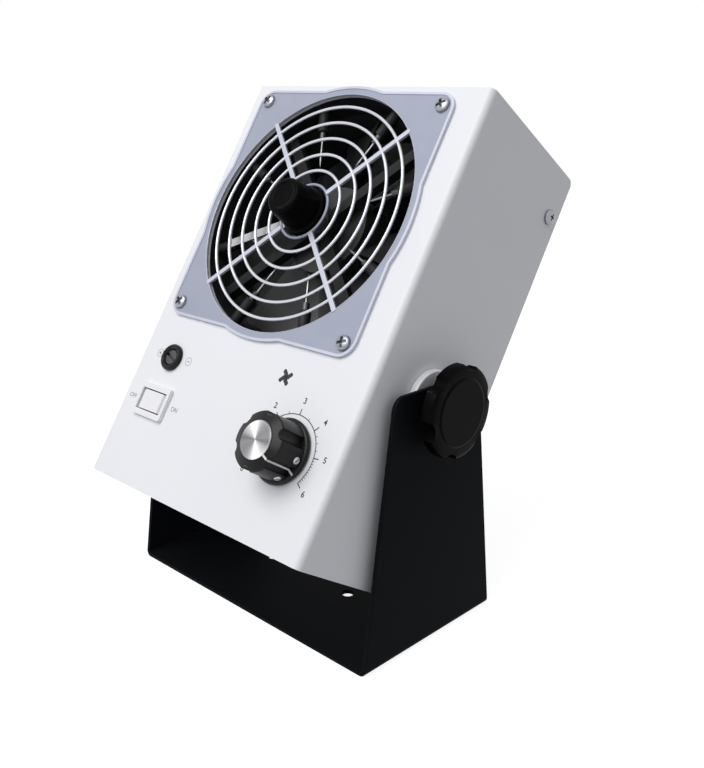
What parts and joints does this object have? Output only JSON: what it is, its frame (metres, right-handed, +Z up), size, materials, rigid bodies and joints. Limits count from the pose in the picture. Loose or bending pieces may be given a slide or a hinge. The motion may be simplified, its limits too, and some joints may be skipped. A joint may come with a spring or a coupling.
{
  "type": "ionizing air blower",
  "caption": "Benchtop ionizing blower: leaning sheet-metal housing with a guarded axial fan, emitter needles and controls, tilting in a U bracket with clamp knobs.",
  "frame": {"origin": "centre of the U bracket's underside, midway between its two wings and between its front and rear edges", "axes": "+Z up along the wings; -Y towards the side that the air leaves; +X along the tilt axis, to the right seen from the front"},
  "size_m": [0.1756, 0.179, 0.228],
  "materials": {
    "black_powder_coat": "satin black powder coat",
    "white_powder_coat": "satin white powder coat",
    "guard_aluminium": "fine matt aluminium, bright at the ribs",
    "zinc_steel": "zinc plated",
    "nickel_screw": "bright nickel plated",
    "white_nylon": "matt nylon",
    "black_knob": "moulded, slightly glossy",
    "black_plastic": "moulded, matt",
    "white_plastic": "moulded, glossy",
    "spun_aluminium": "face turned, radial shine",
    "brass": "plain",
    "tungsten": "ground wire",
    "brush_bristle": "nylon bristle",
    "fan_plastic": "glass-filled, matt",
    "copper_winding": "enamelled wire",
    "foam": "open-cell foam",
    "pcb_green": "solder mask",
    "grey_plastic": "moulded",
    "capacitor_sleeve": "shrunk sleeve",
    "core_laminate": "varnished laminations"
  },
  "bodies": {
    "stand": {"stand_bracket": "black_powder_coat"},
    "housing": {"spacer_discs": "white_nylon", "pivot_nuts": "zinc_steel", "front_shell": "white_powder_coat", "rear_cover": "white_powder_coat", "side_screws": "zinc_steel", "fan_guard": "guard_aluminium", "guard_screws": "nickel_screw", "guard_nuts": "zinc_steel", "emitter_frame": "black_plastic", "emitter_sockets": "brass", "emitter_needles": "tungsten", "cleaner_bush": "brass", "fan_frame": "fan_plastic", "fan_stator": "copper_winding", "fan_bearings": "zinc_steel", "speed_pot": "grey_plastic", "pot_nut": "zinc_steel", "switch_body": "white_plastic", "switch_terminals": "brass", "trimmer_body": "grey_plastic", "trimmer_bezel": "black_plastic", "filter_holder": "black_plastic", "filter_foam": "foam", "filter_screws": "zinc_steel", "inlet_socket": "black_plastic", "inlet_pins": "brass", "inlet_screws": "zinc_steel", "ground_terminal": "brass", "control_board": "pcb_green", "board_standoffs": "brass", "transformer": "core_laminate", "capacitors": "capacitor_sleeve", "power_transistor": "grey_plastic", "hv_module": "black_plastic"},
    "clamp_left": {"clamp_knob_left": "black_knob", "clamp_stud_left": "zinc_steel"},
    "clamp_right": {"clamp_knob_right": "black_knob", "clamp_stud_right": "zinc_steel"},
    "impeller": {"impeller": "fan_plastic", "fan_shaft": "zinc_steel"},
    "speed_control": {"speed_knob": "black_knob", "speed_cap": "spun_aluminium", "speed_shaft": "zinc_steel", "knob_set_screw": "zinc_steel"},
    "rocker": {"rocker": "white_plastic"},
    "trimmer": {"trimmer_shaft": "zinc_steel"},
    "cleaner": {"cleaner_knob": "black_plastic", "cleaner_shaft": "zinc_steel", "cleaner_arm": "nickel_screw", "cleaner_brush": "brush_bristle"},
    "filter_cover": {"filter_cover": "black_plastic"},
    "fuse_drawer": {"fuse_drawer": "black_plastic"}
  },
  "joints": [
    {"name": "housing_tilt", "type": "hinge", "parent": "stand", "child": "housing", "pos_m": [0, 0, 0.106], "axis": [1, 0, 0], "range_deg": [-57, 92]},
    {"name": "clamp_left_turn", "type": "hinge", "parent": "housing", "child": "clamp_left", "pos_m": [-0.08, 0, 0.106], "axis": [-1, 0, 0], "continuous": true},
    {"name": "clamp_right_turn", "type": "hinge", "parent": "housing", "child": "clamp_right", "pos_m": [0.08, 0, 0.106], "axis": [1, 0, 0], "continuous": true},
    {"name": "fan_spin", "type": "hinge", "parent": "housing", "child": "impeller", "pos_m": [-0.0033, 0.02355, 0.16176], "axis": [0, -0.8443, 0.5358], "continuous": true},
    {"name": "speed_turn", "type": "hinge", "parent": "housing", "child": "speed_control", "pos_m": [0.04075, -0.0521, 0.09109], "axis": [0, -0.8443, 0.5358], "range_deg": [-4, 296]},
    {"name": "rocker_tip", "type": "hinge", "parent": "housing", "child": "rocker", "pos_m": [-0.0463, -0.04872, 0.08895], "axis": [0, 0.5358, 0.8443], "range_deg": [0, 20]},
    {"name": "trimmer_turn", "type": "hinge", "parent": "housing", "child": "trimmer", "pos_m": [-0.0463, -0.04047, 0.10942], "axis": [0, -0.8443, 0.5358], "range_deg": [-135, 135]},
    {"name": "cleaner_turn", "type": "hinge", "parent": "housing", "child": "cleaner", "pos_m": [-0.0033, 0.00159, 0.1757], "axis": [0, -0.8443, 0.5358], "continuous": true},
    {"name": "filter_pull", "type": "slide", "parent": "housing", "child": "filter_cover", "axis": [0, 0.8443, -0.5358], "range_m": [0, 0.012]},
    {"name": "fuse_pull", "type": "slide", "parent": "housing", "child": "fuse_drawer", "axis": [0, 0.8443, -0.5358], "range_m": [0, 0.014]}
  ]
}
